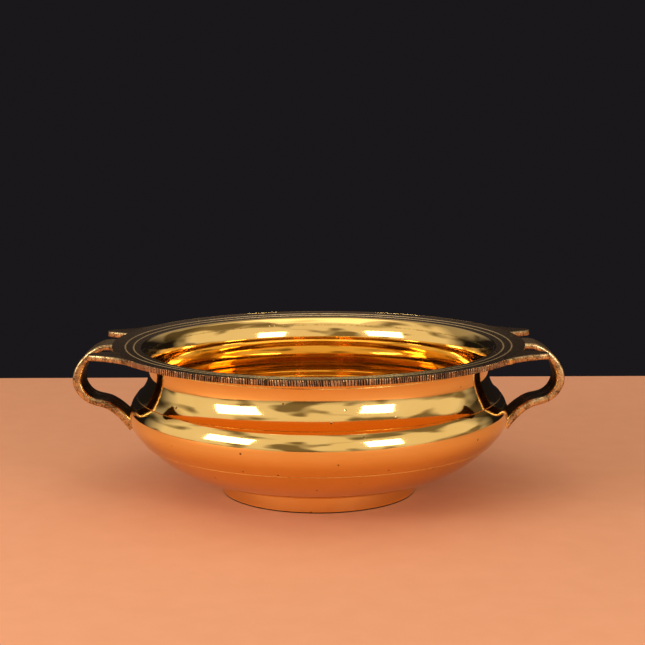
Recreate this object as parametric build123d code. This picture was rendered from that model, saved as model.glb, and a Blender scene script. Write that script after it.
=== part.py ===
from build123d import *
import math
import os

# Brass urli: a shallow serving bowl with a flat rim, a waisted neck and two looped handles.
#
# Sizes are in millimetres. The origin is the centre of the foot's underside, +Z is up, and the
# handles lie on the X axis. The vessel is one wall outline turned about Z and parted where the
# castings are brazed together, so each casting meets the braze beside it face to face.

# Overall sizes
bowl_height = 86.0           # ground to the outer edge of the rim
belly_radius = 108.4         # outside of the bowl where it is widest
rim_overhang = 9.1           # how far the rim stands out past the belly
strap_reach = 22.5           # how far each handle stands out past the rim

# Wall of the vessel
wall = 2.6
belly_drop = 39.4            # rim edge down to the widest place
waist_drop = 29.3            # rim edge down to the crease between neck and shoulder
waist_inset = 4.5            # belly radius less waist radius
neck_drop = 14.7             # rim edge down to the narrowest place
neck_inset = 11.3            # belly radius less neck radius
turn_radius = 16.5           # below the widest place, where the wall turns in
base_clearance = 8.7         # flat middle of the base above the ground
base_flat_radius = 47.5

# Rim
rim_edge = 3.2               # thickness at the outer edge
rim_width = 17.3             # outer edge to the mouth
rim_dish = 1.5               # how much lower the mouth is than the outer edge
mouth_round = 0.8
rim_cove = 2.4               # fillet between the rim's underside and the neck
groove_insets = (7.6, 12.2)  # turned grooves, measured in from the outer edge
groove_width = 0.9
groove_depth = 0.35

# Foot ring
foot_radius = 56.0
foot_wall = 3.2
foot_chamfer = 0.5
foot_braze = 1.0             # braze worked into the corner above the ring

# Brazed joints round the vessel
braze_gap = 0.6
rim_joint_drop = 8.2         # rim edge down to the joint between rim and neck
base_joint_below = 5.7       # end of the turn down along the wall to the joint with the base

# Handle: a root band let into the rim, and from it a strap between two prongs
root_half_angle = 32.0       # the band reaches this far each side of the X axis, in degrees
root_width = 3.2
root_braze = 0.4
strap_width = 22.0
strap_round = 0.8
strap_flat = 3.0             # level stretch past the rim before the strap turns down
strap_bend_in = 8.9          # outermost place back to the middle of the upper bend
strap_bend_drop = 4.6        # the strap's drops are all from the rim edge
strap_bend_thickness = 3.8
strap_side_drop = 20.5
strap_side_thickness = 4.8
strap_elbow_in = 9.0         # outermost place back to the lower bend
strap_elbow_drop = 33.8
strap_elbow_thickness = 4.0
strap_tail_out = 12.6        # belly out to the straight between the lower bend and the foot
strap_tail_drop = 37.2
strap_tail_thickness = 4.3
strap_foot_in = 0.2          # belly radius back to the outer face at the strap's lower end
strap_foot_below = 10.2      # widest place down to the strap's lower end
strap_foot_thickness = 4.8
strap_braze = 1.0            # braze standing out round the strap's lower end
strap_braze_rise = 5.0       # and how far up the wall it runs
prong_notch = 19.0           # gap between the strap and each prong
prong_root = 31.0            # how far the prong's root runs along the rim, across the handle
prong_tip_out = 8.8          # the tip past the rim edge
prong_tip_lean = 7.2         # how far the prong's near edge leans away from the strap
prong_tip_width = 6.4
prong_tip_round = 2.8
prong_hollow = 2.4           # how far the prong's far edge curves in

# Worked out from the sizes above
rim_radius = belly_radius + rim_overhang
mouth_radius = rim_radius - rim_width
belly_z = bowl_height - belly_drop
belly = (belly_radius, belly_z)
waist = (belly_radius - waist_inset, bowl_height - waist_drop)
neck = (belly_radius - neck_inset, bowl_height - neck_drop)
rim_slope = math.atan2(rim_dish, rim_width)
rim_foot = bowl_height - rim_edge
mouth = (mouth_radius, bowl_height - rim_dish)
rim_root = (mouth_radius, rim_foot - rim_dish)    # underside of the rim over the neck's outside
span = 4 * (belly_radius + bowl_height)           # longer than the bowl, for cutting shapes


def polar(centre, radius, degrees):
    """Point at an angle on a circle."""
    angle = math.radians(degrees)
    return (centre[0] + radius * math.cos(angle), centre[1] + radius * math.sin(angle))


def upright_radius(upright, end):
    """Radius of the arc that runs upright through one point and on through another."""
    across, rise = end[0] - upright[0], end[1] - upright[1]
    return (across**2 + rise**2) / (2 * abs(across))


def base_arc():
    """Centre, radius and upper angle of the arc from the flat base to the turn below the belly."""
    across = belly_radius - turn_radius - base_flat_radius
    rise = belly_z - base_clearance
    radius = (across**2 + rise**2 - turn_radius**2) / (2 * (rise - turn_radius))
    centre = (base_flat_radius, base_clearance + radius)
    angle = math.degrees(math.atan2(rise - radius, across))
    return centre, radius, angle


def waist_normal():
    """Unit vector out of the wall at the waist, midway between the neck's and the shoulder's."""
    neck_tilt = math.asin((neck[1] - waist[1]) / upright_radius(neck, waist))
    shoulder_tilt = math.asin((waist[1] - belly_z) / upright_radius(belly, waist))
    return polar((0, 0), 1, math.degrees(neck_tilt + shoulder_tilt) / 2)


def lower_wall(inset):
    """Edges from the axis up to the widest place, set in from the outside by a thickness."""
    centre, radius, angle = base_arc()
    turn_centre = (belly_radius - turn_radius, belly_z)
    flat_end = (base_flat_radius, base_clearance + inset)
    corner = polar(centre, radius - inset, angle)
    turn_middle = polar(turn_centre, turn_radius - inset, angle / 2)
    return [
        Line((0, flat_end[1]), flat_end),
        TangentArc(flat_end, corner, tangent=(1, 0)),
        ThreePointArc(corner, turn_middle, (belly_radius - inset, belly_z)),
    ]


def upper_wall(inset, top):
    """Edges from the widest place up past the waist and neck to a point under the rim."""
    normal = waist_normal()
    inset_waist = (waist[0] - inset * normal[0], waist[1] - inset * normal[1])
    inset_neck = (neck[0] - inset, neck[1])
    return [
        TangentArc((belly_radius - inset, belly_z), inset_waist, tangent=(0, 1)),
        TangentArc(inset_neck, inset_waist, tangent=(0, -1)),
        TangentArc(inset_neck, top, tangent=(0, 1)),
    ]


def wall_section():
    """The whole wall of the vessel as one face, radius along X and height along Y."""
    edge_top, edge_foot = (rim_radius, bowl_height), (rim_radius, rim_foot)
    edges = lower_wall(0) + upper_wall(0, rim_root)
    edges += [Line(rim_root, edge_foot), Line(edge_foot, edge_top), Line(edge_top, mouth)]
    edges += upper_wall(wall, mouth) + lower_wall(wall)
    edges += [Line((0, base_clearance + wall), (0, base_clearance))]
    face = make_face(edges)
    face = fillet(face.vertices().sort_by_distance(Vertex(*rim_root, 0))[0], rim_cove)
    face = fillet(face.vertices().sort_by_distance(Vertex(*mouth, 0))[0], mouth_round)
    tool = Rot(0, 0, math.degrees(rim_slope)) * Polygon(
        (-groove_width, groove_depth), (0, -groove_depth), (groove_width, groove_depth), align=None)
    for inset in groove_insets:
        face -= Pos(rim_radius - inset, bowl_height - inset * math.tan(rim_slope)) * tool
    return face


def solid_section():
    """The vessel's outside filled to the axis, for trimming what sits on it."""
    top = Line(rim_root, (0, rim_root[1]))
    edges = lower_wall(0) + upper_wall(0, rim_root) + [top, Line((0, rim_root[1]), (0, base_clearance))]
    return make_face(edges)


def joint_strip(point, degrees):
    """Thin rectangle across the wall at a point on its outside, where braze fills the joint."""
    return Pos(*polar(point, -wall / 2, degrees)) * Rot(0, 0, degrees) * Rectangle(2 * wall, braze_gap)


def joint_strips():
    """Strips of the rim, waist and base joints."""
    neck_radius = upright_radius(neck, rim_root)
    rise = math.degrees(math.asin((neck_drop - rim_joint_drop) / neck_radius))
    rim_point = polar((neck[0] + neck_radius, neck[1]), neck_radius, 180 - rise)
    normal = waist_normal()
    centre, base_radius, angle = base_arc()
    angle -= math.degrees(base_joint_below / base_radius)
    return [
        joint_strip(rim_point, -rise),
        joint_strip(waist, math.degrees(math.atan2(normal[1], normal[0]))),
        joint_strip(polar(centre, base_radius, angle), angle),
    ]


def turned(section):
    """Solid turned about Z from a face drawn with radius along X and height along Y."""
    return revolve(Plane.XZ * section, Axis.Z)


def vessel_castings():
    """Rim, neck, belly and base, and the ring of braze in each joint between them."""
    section = wall_section()
    strips = joint_strips()
    castings = (section - strips).faces().sort_by(Axis.Y, reverse=True)
    nodes = dict(zip(("rim_flange", "neck_collar", "belly_shell", "base_dish"), castings))
    for name, strip in zip(("rim_joint_braze", "waist_joint_braze", "base_joint_braze"), strips):
        nodes[name] = section & strip
    return {name: turned(face) for name, face in nodes.items()}


def foot_castings():
    """Foot ring, trimmed to the base it stands under, and the braze in the corner above it."""
    section = wall_section()
    centre, radius, _ = base_arc()
    seat = centre[1] - math.sqrt(radius**2 - max(foot_radius - centre[0], 0) ** 2)
    height = seat + wall / 2
    ring = Pos(foot_radius - foot_wall / 2, height / 2) * Rectangle(foot_wall, height)
    ring = chamfer(ring.vertices().sort_by(Axis.Y)[:2], foot_chamfer) - section
    bead = Polygon((foot_radius, seat - foot_braze), (foot_radius + foot_braze, seat + foot_braze),
                   (foot_radius, seat + foot_braze), align=None) - section
    return {
        "foot_ring": turned(ring.faces().sort_by(Axis.Y)[0]),
        "foot_ring_braze": turned(bead.faces().sort_by(Axis.Y)[0]),
    }


def sector(inner_radius, half_angle):
    """Upright prism over a sector about +X, open outwards from an inner radius."""
    wedge = Polygon((0, 0), polar((0, 0), span, -half_angle), polar((0, 0), span, half_angle), align=None)
    return extrude(wedge - Circle(inner_radius), bowl_height + rim_edge)


def strap_section():
    """Side view of the strap, radius along X and height along Y."""
    side = rim_radius + strap_reach
    stations = [
        # outer face: radius, drop from the rim edge, heading in degrees; then the thickness
        (rim_radius - rim_edge, 0, 0, rim_edge),
        (rim_radius + strap_flat, 0, 0, rim_edge),
        (side - strap_bend_in, strap_bend_drop, -39, strap_bend_thickness),
        (side, strap_side_drop, -90, strap_side_thickness),
        (side - strap_elbow_in, strap_elbow_drop, -153, strap_elbow_thickness),
        (belly_radius + strap_tail_out, strap_tail_drop, -152, strap_tail_thickness),
        (belly_radius - strap_foot_in, belly_drop + strap_foot_below, -125, strap_foot_thickness),
    ]
    outer = [(x, bowl_height - drop) for x, drop, _, _ in stations]
    inner = [polar(point, thickness, heading - 90)
             for point, (_, _, heading, thickness) in zip(outer, stations)]
    ends = [polar((0, 0), 1, heading) for _, _, heading, _ in (stations[1], stations[-1])]
    return make_face([
        Line(inner[0], outer[0]),
        Line(outer[0], outer[1]),
        Spline(*outer[1:], tangents=ends),
        Line(outer[-1], inner[-1]),
        Spline(*inner[1:], tangents=ends),
        Line(inner[1], inner[0]),
    ])


def strap():
    """Strap from the rim's edge round and down to the belly, trimmed to both."""
    body = extrude(Plane.XZ * strap_section(), strap_width / 2, both=True)
    corners = body.edges().filter_by(
        lambda edge: abs(edge.center().Y) > strap_width / 2 - strap_round
        and edge.center().X > belly_radius + strap_foot_in)
    rim = Pos(0, 0, rim_foot - rim_edge) * extrude(Circle(rim_radius), 3 * rim_edge)
    return fillet(corners, strap_round) - rim - turned(solid_section())


def prong_plan():
    """Plan of the prong on the +Y side, from the rim's edge outwards."""
    near = strap_width / 2 + prong_notch
    far = near + prong_root
    root_near = (math.sqrt(rim_radius**2 - near**2), near)
    root_far = (math.sqrt(rim_radius**2 - far**2), far)
    tip_near = (rim_radius + prong_tip_out, near + prong_tip_lean)
    tip_far = (tip_near[0], tip_near[1] + prong_tip_width)
    run = (root_far[0] - tip_far[0], root_far[1] - tip_far[1])
    curve = prong_hollow / math.hypot(*run)
    middle = ((tip_far[0] + root_far[0]) / 2 - curve * run[1],
              (tip_far[1] + root_far[1]) / 2 + curve * run[0])
    root_middle = (root_far[0] - 2 * root_width, (near + far) / 2)
    face = make_face([
        Line(root_near, tip_near),
        Line(tip_near, tip_far),
        ThreePointArc(tip_far, middle, root_far),
        Line(root_far, root_middle),
        Line(root_middle, root_near),
    ])
    return fillet(face.vertices().sort_by(Axis.X)[-2:], prong_tip_round) - Circle(rim_radius)


def right_handle(rim):
    """Handle on the +X side: the band let into the rim, both prongs and the strap."""
    band = rim & sector(rim_radius - root_width, root_half_angle)
    prong = Pos(0, 0, rim_foot) * extrude(prong_plan(), rim_edge)
    return band + prong + mirror(prong, about=Plane.XZ) + strap()


def root_pocket():
    """The piece cut out of the rim for a handle's band and the braze behind it."""
    spread = math.degrees(root_braze / rim_radius)
    return sector(rim_radius - root_width - root_braze, root_half_angle + spread)


def right_root_braze(rim):
    """Braze between the rim and the +X handle's band."""
    return (rim & root_pocket()) - sector(rim_radius - root_width, root_half_angle)


def belly_skin(thickness):
    """Thin layer all over the outside of the wall below the widest place."""
    top = (belly_radius + thickness, belly_z)
    edges = lower_wall(-thickness)
    edges += [Line(top, (0, belly_z)), Line((0, belly_z), (0, base_clearance - thickness))]
    return turned(make_face(edges)) - turned(solid_section())


def right_foot_braze():
    """Thin pad of braze round the lower end of the +X handle's strap."""
    foot_z = belly_z - strap_foot_below - strap_braze
    reach = 2 * turn_radius
    patch = Box(reach, strap_width + 2 * strap_braze, strap_braze_rise + strap_braze,
                align=(Align.CENTER, Align.CENTER, Align.MIN))
    return (belly_skin(strap_braze) & (Pos(belly_radius, 0, foot_z) * patch)) - strap()


def assembly():
    """Every piece of the bowl by name."""
    nodes = {**vessel_castings(), **foot_castings()}
    rim = nodes["rim_flange"]
    pocket = root_pocket()
    nodes["rim_flange"] = rim - pocket - mirror(pocket, about=Plane.YZ)
    right = {
        "handle": right_handle(rim),
        "handle_root_braze": right_root_braze(rim),
        "handle_foot_braze": right_foot_braze(),
    }
    for name, shape in right.items():
        nodes["right_" + name] = shape
        nodes["left_" + name] = mirror(shape, about=Plane.YZ)
    return nodes


os.makedirs("parts", exist_ok=True)
for node, shape in assembly().items():
    export_step(shape, f"parts/{node}.step")
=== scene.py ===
import logging
import math
import random
from dataclasses import dataclass, field
from enum import Enum, IntEnum

import bmesh
import bpy
from mathutils import Matrix, Vector, noise


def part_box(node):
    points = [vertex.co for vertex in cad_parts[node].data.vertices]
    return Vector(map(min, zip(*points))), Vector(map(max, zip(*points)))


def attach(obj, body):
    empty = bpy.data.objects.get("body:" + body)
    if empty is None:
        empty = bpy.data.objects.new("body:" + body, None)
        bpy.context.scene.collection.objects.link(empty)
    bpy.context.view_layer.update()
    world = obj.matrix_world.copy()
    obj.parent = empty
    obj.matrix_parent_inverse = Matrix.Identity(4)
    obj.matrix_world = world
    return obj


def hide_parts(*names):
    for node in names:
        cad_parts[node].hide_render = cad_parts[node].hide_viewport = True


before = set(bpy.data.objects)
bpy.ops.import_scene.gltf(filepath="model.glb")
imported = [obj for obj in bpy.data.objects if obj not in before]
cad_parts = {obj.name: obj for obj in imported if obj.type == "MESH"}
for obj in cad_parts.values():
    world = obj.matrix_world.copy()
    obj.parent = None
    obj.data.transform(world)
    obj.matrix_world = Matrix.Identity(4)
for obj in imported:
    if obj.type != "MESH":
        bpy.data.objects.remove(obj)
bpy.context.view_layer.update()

LOG = logging.getLogger("urli")
MM = 0.001
WELD = 0.5e-6       # points nearer than this, in metres, are one
Point = tuple[float, float]
Place = tuple[float, float, float]
Face = tuple[int, ...]
Material = bpy.types.Material
NodeTree = bpy.types.NodeTree


class Side(Enum):
    """Which end of the X axis a handle stands on."""

    RIGHT = 1
    LEFT = -1


class Slot(Enum):
    """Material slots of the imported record."""

    POLISHED = "polished_brass"
    CAST = "cast_brass"
    BRAZE = "braze_alloy"


class RimFace(IntEnum):
    """Number of each finish on the rim, in the order that the rim is given them."""

    MIRROR = 0
    TOP = 1
    CHISELLED = 2
    GROOVE_PAINTED_HIGHLIGHT = 3
    CUT_FLOOR_PAINTED_SHADE = 4


class HandleFace(IntEnum):
    """Number of each finish on a handle, in the order that the handle is given them."""

    FILED = 0
    AS_CAST_AND_SHADE = 1
    PRONG_TOP = 2
    BRAZE = 3


# ---- Helpers for colours, nodes and objects ----


def linear(code: str) -> tuple[float, float, float, float]:
    """Turns an sRGB hex colour into linear RGBA.

    Args:
        code: colour such as "#d9a441".

    Returns:
        Red, green, blue and alpha, each 0 to 1.
    """
    channels = [int(code[i:i + 2], 16) / 255 for i in (1, 3, 5)]
    return (*[c / 12.92 if c <= 0.04045 else ((c + 0.055) / 1.055) ** 2.4 for c in channels], 1.0)


def add_node(tree: NodeTree, kind: str, inputs: dict | None = None, **settings) -> bpy.types.Node:
    """Adds a node with its settings, its input values and its links.

    Args:
        tree: node tree that the node goes into.
        kind: Blender's name for the node's type, without the "ShaderNode" in front.
        inputs: for each input, by name or index, its value, the socket that it is linked to, or a
            node, which stands for its first output.
        settings: properties of the node itself.

    Returns:
        The new node.
    """
    node = tree.nodes.new("ShaderNode" + kind)
    for name, value in settings.items():
        setattr(node, name, value)
    for key, value in (inputs or {}).items():
        value = value.outputs[0] if isinstance(value, bpy.types.Node) else value
        if isinstance(value, bpy.types.NodeSocket):
            tree.links.new(value, node.inputs[key])
        else:
            node.inputs[key].default_value = value
    return node


def empty_tree(holder: Material | bpy.types.World) -> NodeTree:
    """Turns on nodes and clears the ones that come with them.

    Args:
        holder: the new material or world.

    Returns:
        Its node tree.
    """
    holder.use_nodes = True
    holder.node_tree.nodes.clear()
    return holder.node_tree


def add_specks(tree: NodeTree, place: bpy.types.NodeSocket, spacing_mm: float,
               size_mm: float, core: float) -> bpy.types.Node:
    """Adds scattered round specks.

    Args:
        tree: the material's tree.
        place: coordinates.
        spacing_mm: usual distance between specks.
        size_mm: radius where a speck ends.
        core: share of the radius within which it is full.

    Returns:
        Node that gives 1 in a speck and 0 outside.
    """
    cells = add_node(tree, "TexVoronoi", {"Vector": place, "Scale": 1 / (spacing_mm * MM)})
    return add_node(tree, "MapRange", {
        "Value": cells.outputs["Distance"], "From Min": core * size_mm / spacing_mm,
        "From Max": size_mm / spacing_mm, "To Min": 1.0, "To Max": 0.0})


def add_surface(tree: NodeTree, inputs: dict) -> None:
    """Ends a material's tree with its surface."""
    shader = add_node(tree, "BsdfPrincipled", inputs)
    add_node(tree, "OutputMaterial", {"Surface": shader})


def add_object(name: str, data: bpy.types.ID) -> bpy.types.Object:
    """Adds an object to the scene.

    Args:
        name: the object's name.
        data: its mesh, lamp or camera.

    Returns:
        The new object.
    """
    thing = bpy.data.objects.new(name, data)
    bpy.context.scene.collection.objects.link(thing)
    return thing


# ---- Finishes ----


@dataclass(frozen=True)
class LatheBuffedBrass:
    """Brass turned on a lathe and buffed: a near mirror with soft rings and a few casting pits.

    The rings break the edges of what it mirrors into fine steps round the bowl, and the buffing
    wheel leaves slow waves, so reflections wander a little instead of being ruled lines.
    """

    name: str = "brass_lathe_buffed"
    gold: str = "#fdd98a"
    red_gold: str = "#f8cc74"
    painted_underside_reflection_gold: str = "#e9b558"     # painted reflection: surfaces facing down get this deeper gold in place of the orange-lit floor they mirror
    underside: Point = (-0.15, -0.65)   # fall of the surface where the painted reflection starts and is full
    pit_brown: str = "#5a3216"
    roughness: float = 0.07
    ring_depth_mm: float = 0.010
    ring_pitch_mm: float = 1.1      # tool feed is 0.1 mm or so, too fine to show, so drawn coarser
    wave_depth_mm: float = 0.060
    wave_length_mm: float = 16.0    # width of a buffing wheel's dwell
    pit_size_mm: float = 0.75
    pit_depth_mm: float = 0.15
    pit_spacing_mm: float = 11.0

    def make(self) -> Material:
        """Builds the material and returns it."""
        material = bpy.data.materials.new(self.name)
        tree = empty_tree(material)
        place = add_node(tree, "TexCoord").outputs["Object"]
        split = add_node(tree, "SeparateXYZ", {0: place})
        flat = add_node(tree, "CombineXYZ", {0: split.outputs[0], 1: split.outputs[1]})
        radius = add_node(tree, "VectorMath", {0: flat}, operation="LENGTH")
        turned = add_node(tree, "CombineXYZ", {
            0: radius.outputs["Value"], 2: split.outputs[2]})
        rings = add_node(tree, "TexNoise", {
            "Vector": turned, "Scale": 1 / (self.ring_pitch_mm * MM), "Detail": 3.0,
            "Roughness": 0.6})
        waves = add_node(tree, "TexNoise", {
            "Vector": place, "Scale": 1 / (self.wave_length_mm * MM), "Detail": 2.0})
        pit = add_specks(tree, place, self.pit_spacing_mm, self.pit_size_mm, 0.4)
        tint = add_node(tree, "Mix", {
            "Factor": waves.outputs["Fac"], "A": linear(self.gold), "B": linear(self.red_gold)},
            data_type="RGBA")
        # Painted reflection: the more a surface faces down, the more it takes the deeper underside
        # gold.
        facing = add_node(tree, "NewGeometry").outputs["Normal"]
        facing = add_node(tree, "SeparateXYZ", {0: facing}).outputs[2]
        under = add_node(tree, "MapRange", {
            "Value": facing, "From Min": self.underside[0], "From Max": self.underside[1]})
        painted_reflection_tint = add_node(tree, "Mix", {
            "Factor": under, "A": tint.outputs["Result"], "B": linear(self.painted_underside_reflection_gold)},
            data_type="RGBA")
        colour = add_node(tree, "Mix", {
            "Factor": pit, "A": painted_reflection_tint.outputs["Result"], "B": linear(self.pit_brown)},
            data_type="RGBA")
        gloss = add_node(tree, "MapRange", {
            "Value": rings.outputs["Fac"],
            "To Min": self.roughness * 0.6, "To Max": self.roughness * 1.5})
        wave_bump = add_node(tree, "Bump", {
            "Height": waves.outputs["Fac"], "Distance": self.wave_depth_mm * MM})
        ring_bump = add_node(tree, "Bump", {
            "Height": rings.outputs["Fac"], "Distance": self.ring_depth_mm * MM,
            "Normal": wave_bump})
        pit_bump = add_node(tree, "Bump", {
            "Height": pit, "Strength": 0.6, "Distance": self.pit_depth_mm * MM,
            "Normal": ring_bump}, invert=True)
        add_surface(tree, {
            "Base Color": colour.outputs["Result"], "Metallic": 1.0, "Roughness": gloss,
            "Normal": pit_bump})
        return material


@dataclass(frozen=True)
class HandledBrass:
    """Brass that was filed or left from the mould and has browned with handling.

    File strokes and mould grain scatter the light, so it is satin, with brown in its hollows and
    small bright nicks where it has been knocked.
    """

    name: str
    bright: str
    brown: str
    roughness: float
    browned: float                  # share of the surface that has gone brown, 0 to 1
    grain_mm: float                 # mould grain or file stroke spacing
    grain_depth_mm: float
    blotches: float = 0.6           # how much the browning gathers in patches
    blotch_mm: float = 6.0
    nick_mm: float = 0.45
    nick_depth_mm: float = 0.12
    nick_colour: str = "#f2cf8e"
    nick_spacing_mm: float = 2.6
    nicked: float = 0.3             # share of the surface that has nicks at all

    def make(self) -> Material:
        """Builds the material and returns it."""
        material = bpy.data.materials.new(self.name)
        tree = empty_tree(material)
        place = add_node(tree, "TexCoord").outputs["Object"]
        grain = add_node(tree, "TexNoise", {
            "Vector": place, "Scale": 1 / (self.grain_mm * MM), "Detail": 4.0,
            "Roughness": 0.65})
        # The two patterns' sum is brown below this level and bright above it.
        middle = 0.5 * (1 + self.blotches) + 0.35 * (self.browned - 0.5)
        edge = 0.15
        blotch = add_node(tree, "TexNoise", {
            "Vector": place, "Scale": 1 / (self.blotch_mm * MM), "Detail": 3.0})
        mixed = add_node(tree, "Math", {
            0: blotch.outputs["Fac"], 1: self.blotches, 2: grain.outputs["Fac"]},
            operation="MULTIPLY_ADD")
        worn = add_node(tree, "MapRange", {
            "Value": mixed, "From Min": middle - edge, "From Max": middle + edge})
        colour = add_node(tree, "Mix", {
            "Factor": worn, "A": linear(self.brown), "B": linear(self.bright)},
            data_type="RGBA")
        nick = add_specks(tree, place, self.nick_spacing_mm, self.nick_mm, 0.5)
        # Nicks are kept only where the blotches' pattern is above this level.
        level = 0.62 - 0.3 * self.nicked
        area = add_node(tree, "Math", {0: blotch.outputs["Fac"], 1: level}, operation="GREATER_THAN")
        nick = add_node(tree, "Math", {0: nick, 1: area}, operation="MULTIPLY")
        colour = add_node(tree, "Mix", {
            "Factor": nick, "A": colour.outputs["Result"], "B": linear(self.nick_colour)},
            data_type="RGBA")
        gloss = add_node(tree, "MapRange", {
            "Value": worn, "To Min": min(1.0, self.roughness * 1.5), "To Max": self.roughness})
        bump = add_node(tree, "Bump", {
            "Height": grain.outputs["Fac"], "Distance": self.grain_depth_mm * MM})
        dent = add_node(tree, "Bump", {
            "Height": nick, "Strength": 0.8, "Distance": self.nick_depth_mm * MM,
            "Normal": bump}, invert=True)
        add_surface(tree, {
            "Base Color": colour.outputs["Result"], "Metallic": 1.0, "Roughness": gloss,
            "Normal": dent})
        return material


@dataclass
class Finishes:
    """Every finish on the bowl, each made once."""

    mirror: Material = field(default_factory=LatheBuffedBrass().make)
    # Turned but not buffed since: brown film between the rings, so it stays dim beside the mirror.
    flange_top: Material = field(default_factory=HandledBrass(
        name="brass_turned_aged", bright="#b1874a", brown="#553a21", roughness=0.20, browned=0.58,
        grain_mm=0.9, grain_depth_mm=0.03, blotches=0.3, nick_mm=0.4, nick_spacing_mm=3.4,
        nicked=0.5).make)
    # Painted highlight: the grooves' faces get this pale finish, so each reads as a thin pale ring.
    groove_painted_highlight: Material = field(default_factory=HandledBrass(
        name="brass_turned_bright", bright="#f3d9a4", brown="#c49558", roughness=0.36,
        browned=0.15, grain_mm=0.9, grain_depth_mm=0.02, blotches=0.3).make)
    # Cut with a chisel: bright ridges browned in patches; the cuts' floors take the near-black finish
    # instead, as painted shade.
    chiselled: Material = field(default_factory=HandledBrass(
        name="brass_chiselled_aged", bright="#d8a678", brown="#5a3a25", roughness=0.32,
        browned=0.50, grain_mm=0.5, grain_depth_mm=0.03, blotches=0.5, nick_mm=0.4,
        nick_spacing_mm=2.0, nicked=0.5).make)
    # Draw-filed edges: satin, pale, browned in patches, with a few bright nicks.
    filed: Material = field(default_factory=HandledBrass(
        name="brass_cast_filed", bright="#e8c48a", brown="#6a4e33", roughness=0.24, browned=0.46,
        grain_mm=0.9, grain_depth_mm=0.05, blotches=0.8, nick_mm=0.4, nick_spacing_mm=3.2).make)
    # Left from the sand mould: dull, dark and grainy, and darkened further to near black as painted
    # shade, since it goes where shade falls: the handles' inner faces and prong undersides, the floors
    # of the rim's cuts and the foot's bearing edge.
    as_cast_and_shade: Material = field(default_factory=HandledBrass(
        name="brass_cast_raw", bright="#4e3a22", brown="#1c130b", roughness=0.50, browned=0.7,
        grain_mm=1.0, grain_depth_mm=0.10, nicked=0.0).make)
    # Braze runs bright and a little yellower than the castings.
    braze: Material = field(default_factory=HandledBrass(
        name="braze_alloy_flowed", bright="#f2cf7a", brown="#b98340", roughness=0.18,
        browned=0.2, grain_mm=1.2, grain_depth_mm=0.03).make)


# ---- Outlines ----


@dataclass(frozen=True)
class Arc:
    """Circular arc in the plane of radius and height, in millimetres and radians."""

    centre: Point
    radius: float
    start: float
    end: float

    def at(self, fraction: float) -> Point:
        """Point at a fraction of the way from the arc's start to its end."""
        angle = self.start + (self.end - self.start) * fraction
        return (self.centre[0] + self.radius * math.cos(angle),
                self.centre[1] + self.radius * math.sin(angle))

    def length(self) -> float:
        """Length along the arc."""
        return self.radius * abs(self.end - self.start)

    def points(self, step: float, first: float = 0.0, last: float = 1.0) -> list[Point]:
        """Points along part of the arc.

        Args:
            step: greatest spacing.
            first: fraction where the points start.
            last: fraction where they end.

        Returns:
            Points with both ends included.
        """
        count = max(2, math.ceil(self.length() * abs(last - first) / step))
        return [self.at(first + (last - first) * i / count) for i in range(count + 1)]


def upright_arc(upright: Point, end: Point) -> Arc:
    """Arc that runs upright through one point and on through another.

    Args:
        upright: where its tangent is vertical.
        end: where it ends.

    Returns:
        The arc from the upright point to the end.
    """
    across, rise = end[0] - upright[0], end[1] - upright[1]
    radius = (across**2 + rise**2) / (2 * abs(across))
    turn = math.asin(max(-1.0, min(1.0, rise / radius)))
    if across > 0:
        return Arc((upright[0] + radius, upright[1]), radius, math.pi, math.pi - turn)
    return Arc((upright[0] - radius, upright[1]), radius, 0.0, turn)


@dataclass(frozen=True)
class WallPart:
    """Stretch of the vessel's wall between two joints, as points on its outside and inside."""

    outside: list[Point]
    inside: list[Point]

    def loop(self) -> list[Point]:
        """The part's section as one closed loop."""
        return self.outside + self.inside[::-1]


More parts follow.
